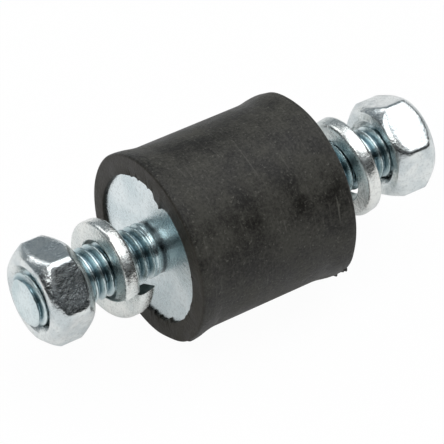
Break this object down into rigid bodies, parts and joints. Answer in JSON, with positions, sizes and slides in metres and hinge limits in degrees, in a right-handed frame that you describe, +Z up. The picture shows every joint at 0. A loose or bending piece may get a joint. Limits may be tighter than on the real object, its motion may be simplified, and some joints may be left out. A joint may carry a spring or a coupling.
{
  "type": "bobbin vibration mount",
  "caption": "Cylindrical rubber vibration mount, 20 mm class, with an M6 steel stud, a spring washer and a hexagon nut at each end.",
  "frame": {"origin": "middle of the rubber body, which is also the middle of the whole part's box", "axes": "+X along the studs' common axis, +Z up as the part lies"},
  "size_m": [0.049, 0.0208, 0.0208],
  "materials": {
    "rubber": "matt, moulded",
    "plate": "bright zinc plated",
    "stud": "bright zinc plated",
    "washer": "bright zinc plated",
    "nut": "bright zinc plated"
  },
  "bodies": {
    "root": {"rubber_body": "rubber", "end_plate_left": "plate", "end_plate_right": "plate", "stud_left": "stud", "stud_right": "stud", "spring_washer_left": "washer", "spring_washer_right": "washer", "hex_nut_left": "nut", "hex_nut_right": "nut"}
  },
  "joints": []
}
